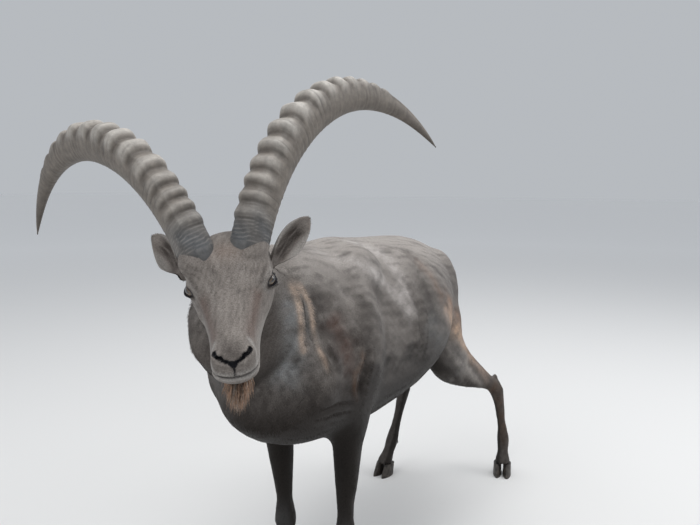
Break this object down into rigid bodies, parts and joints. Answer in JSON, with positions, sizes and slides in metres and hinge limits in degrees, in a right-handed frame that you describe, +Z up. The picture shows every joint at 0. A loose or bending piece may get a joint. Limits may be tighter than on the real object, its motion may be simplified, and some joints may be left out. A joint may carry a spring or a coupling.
{
  "type": "alpine ibex",
  "caption": "Adult male alpine ibex standing mid-step with its head low and turned to its left, long ridged horns swept back and apart, short beard.",
  "frame": {"origin": "middle of the bounding box seen from above, on the floor under the soles", "axes": "+Z up; the trunk lies along Y with the breast towards -Y and the tail towards +Y; +X is the animal's left"},
  "size_m": [0.9174, 1.5516, 1.2188],
  "materials": {
    "coat": "short grey-brown fur",
    "dark_coat": "short brown-black fur",
    "beard": "long red-brown hair",
    "horn": "ridged grey-brown horn",
    "hoof": "worn black hoof horn",
    "eye": "wet"
  },
  "bodies": {
    "root": {"torso": "coat", "neck": "coat", "head": "coat", "ear_left": "coat", "ear_right": "coat", "leg_front_left_upper": "dark_coat", "leg_front_left_lower": "dark_coat", "leg_front_right_upper": "dark_coat", "leg_front_right_lower": "dark_coat", "leg_hind_left_upper": "dark_coat", "leg_hind_left_lower": "dark_coat", "leg_hind_right_upper": "dark_coat", "leg_hind_right_lower": "dark_coat", "tail": "dark_coat", "beard": "beard", "horn_left": "horn", "horn_right": "horn", "claw_front_left_left": "hoof", "claw_front_left_right": "hoof", "claw_front_right_left": "hoof", "claw_front_right_right": "hoof", "claw_hind_left_left": "hoof", "claw_hind_left_right": "hoof", "claw_hind_right_left": "hoof", "claw_hind_right_right": "hoof", "eye_left": "eye", "eye_right": "eye"}
  },
  "joints": []
}
